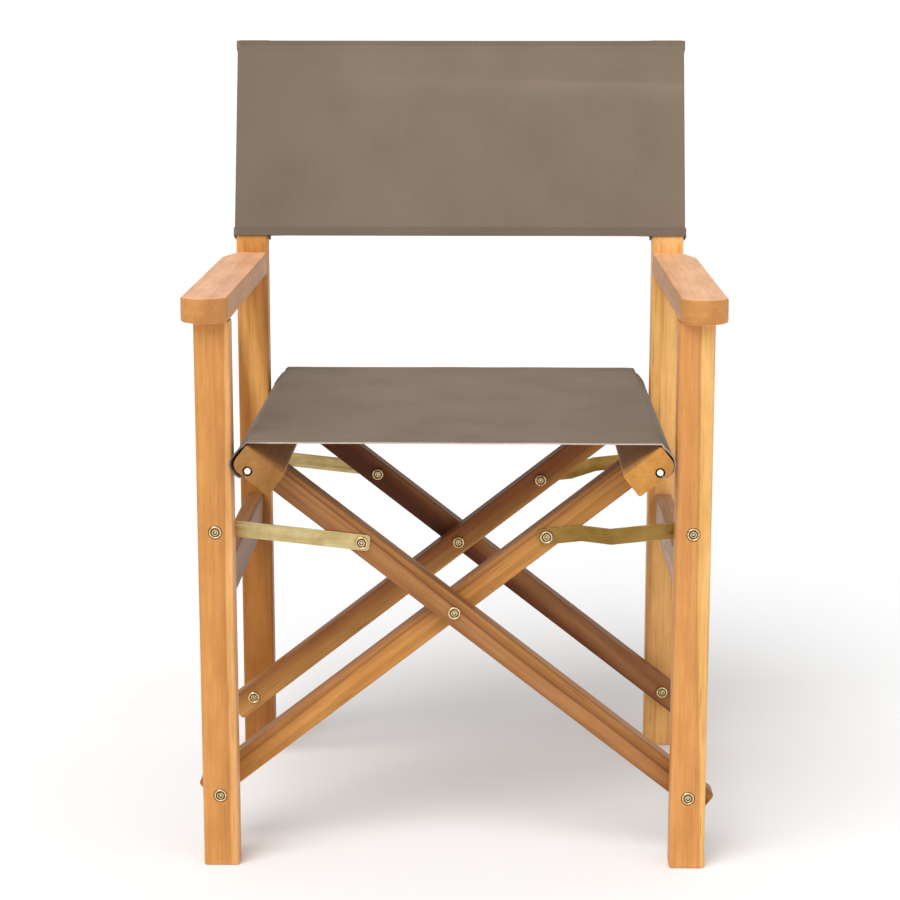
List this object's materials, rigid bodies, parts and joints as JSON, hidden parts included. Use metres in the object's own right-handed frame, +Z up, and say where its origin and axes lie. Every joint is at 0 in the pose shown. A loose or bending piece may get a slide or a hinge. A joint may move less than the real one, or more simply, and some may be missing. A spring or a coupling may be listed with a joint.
{
  "type": "folding chair",
  "caption": "Wooden folding director's chair with crossed bars, flat arms, and a fabric seat and back.",
  "frame": {"origin": "on the floor, under the middle of the open chair's box", "axes": "+X across the chair, +Y to its back, +Z up; left is -X and right is +X, as seen from the front"},
  "size_m": [0.57, 0.5156, 0.881],
  "materials": {
    "post_wood": "oiled",
    "arm_wood": "oiled",
    "rail_wood": "oiled",
    "bar_wood": "oiled",
    "seat_rail_wood": "oiled",
    "dowel_wood": "plain",
    "bolt_brass": "polished",
    "strap_brass": "brushed",
    "seat_cloth": "woven",
    "back_cloth": "woven",
    "rod_plastic": "plain"
  },
  "bodies": {
    "side_frame_left": {"arm_dowels_left": "dowel_wood", "armrest_left": "arm_wood", "back_fabric": "back_cloth", "foot_bolts_left": "bolt_brass", "foot_nuts_left": "bolt_brass", "foot_spacers_left": "bolt_brass", "front_post_left": "post_wood", "rear_post_left": "post_wood", "side_rail_dowels_left": "dowel_wood", "side_rail_left": "rail_wood", "strap_post_bolts_left": "bolt_brass"},
    "side_frame_right": {"arm_dowels_right": "dowel_wood", "armrest_right": "arm_wood", "foot_bolts_right": "bolt_brass", "foot_nuts_right": "bolt_brass", "foot_washers_right": "bolt_brass", "front_post_right": "post_wood", "rear_post_right": "post_wood", "side_rail_dowels_right": "dowel_wood", "side_rail_right": "rail_wood", "strap_post_bolts_right": "bolt_brass"},
    "cross_frame_left": {"cross_bar_front_outer": "bar_wood", "cross_bar_rear_outer": "bar_wood", "seat_rail_dowels_left": "dowel_wood", "seat_rail_left": "seat_rail_wood", "seat_rod_left": "rod_plastic", "strap_bar_bolts_left": "bolt_brass", "strap_bar_nuts_left": "bolt_brass"},
    "cross_frame_right": {"centre_bolts": "bolt_brass", "centre_nuts": "bolt_brass", "centre_washers": "bolt_brass", "cross_bar_front_inner": "bar_wood", "cross_bar_rear_inner": "bar_wood", "seat_fabric": "seat_cloth", "seat_rail_dowels_right": "dowel_wood", "seat_rail_right": "seat_rail_wood", "seat_rod_right": "rod_plastic", "strap_bar_bolts_right": "bolt_brass", "strap_bar_nuts_right": "bolt_brass"},
    "strap_front_left": {"strap_front_left": "strap_brass", "strap_rivet_front_left": "bolt_brass"},
    "strap_rear_left": {"strap_rear_left": "strap_brass", "strap_rivet_rear_left": "bolt_brass"},
    "strap_front_right": {"strap_front_right": "strap_brass", "strap_rivet_front_right": "bolt_brass"},
    "strap_rear_right": {"strap_rear_right": "strap_brass", "strap_rivet_rear_right": "bolt_brass"}
  },
  "joints": [
    {"name": "fold", "type": "hinge", "parent": "side_frame_left", "child": "cross_frame_right", "pos_m": [-0.2535, 0, 0.08], "axis": [0, -1, 0], "range_deg": [0, 35], "deforming": ["seat_fabric", "back_fabric"]},
    {"name": "cross_pivot", "type": "hinge", "parent": "cross_frame_right", "child": "cross_frame_left", "pos_m": [0, 0, 0.279], "axis": [0, -1, 0], "range_deg": [-76.2, 0]},
    {"name": "right_foot_pivot", "type": "hinge", "parent": "cross_frame_left", "child": "side_frame_right", "pos_m": [0.2535, 0, 0.08], "axis": [0, -1, 0], "range_deg": [0, 35]},
    {"name": "strap_front_left_pivot", "type": "hinge", "parent": "cross_frame_left", "child": "strap_front_left", "pos_m": [-0.0995, 0, 0.35711], "axis": [0, -1, 0], "range_deg": [0, 110.8]},
    {"name": "strap_rear_left_pivot", "type": "hinge", "parent": "cross_frame_left", "child": "strap_rear_left", "pos_m": [-0.0995, 0, 0.35711], "axis": [0, -1, 0], "range_deg": [0, 110.8]},
    {"name": "strap_front_right_pivot", "type": "hinge", "parent": "cross_frame_right", "child": "strap_front_right", "pos_m": [0.0995, 0, 0.35711], "axis": [0, -1, 0], "range_deg": [-110.8, 0]},
    {"name": "strap_rear_right_pivot", "type": "hinge", "parent": "cross_frame_right", "child": "strap_rear_right", "pos_m": [0.0995, 0, 0.35711], "axis": [0, -1, 0], "range_deg": [-110.8, 0]}
  ],
  "couplings": [
    {"joint": "cross_pivot", "follows": "fold", "ratio": -2.1739},
    {"joint": "right_foot_pivot", "follows": "fold", "ratio": 1},
    {"joint": "strap_front_left_pivot", "follows": "fold", "ratio": 3.1603},
    {"joint": "strap_rear_left_pivot", "follows": "fold", "ratio": 3.1603},
    {"joint": "strap_front_right_pivot", "follows": "fold", "ratio": -3.1603},
    {"joint": "strap_rear_right_pivot", "follows": "fold", "ratio": -3.1603}
  ]
}
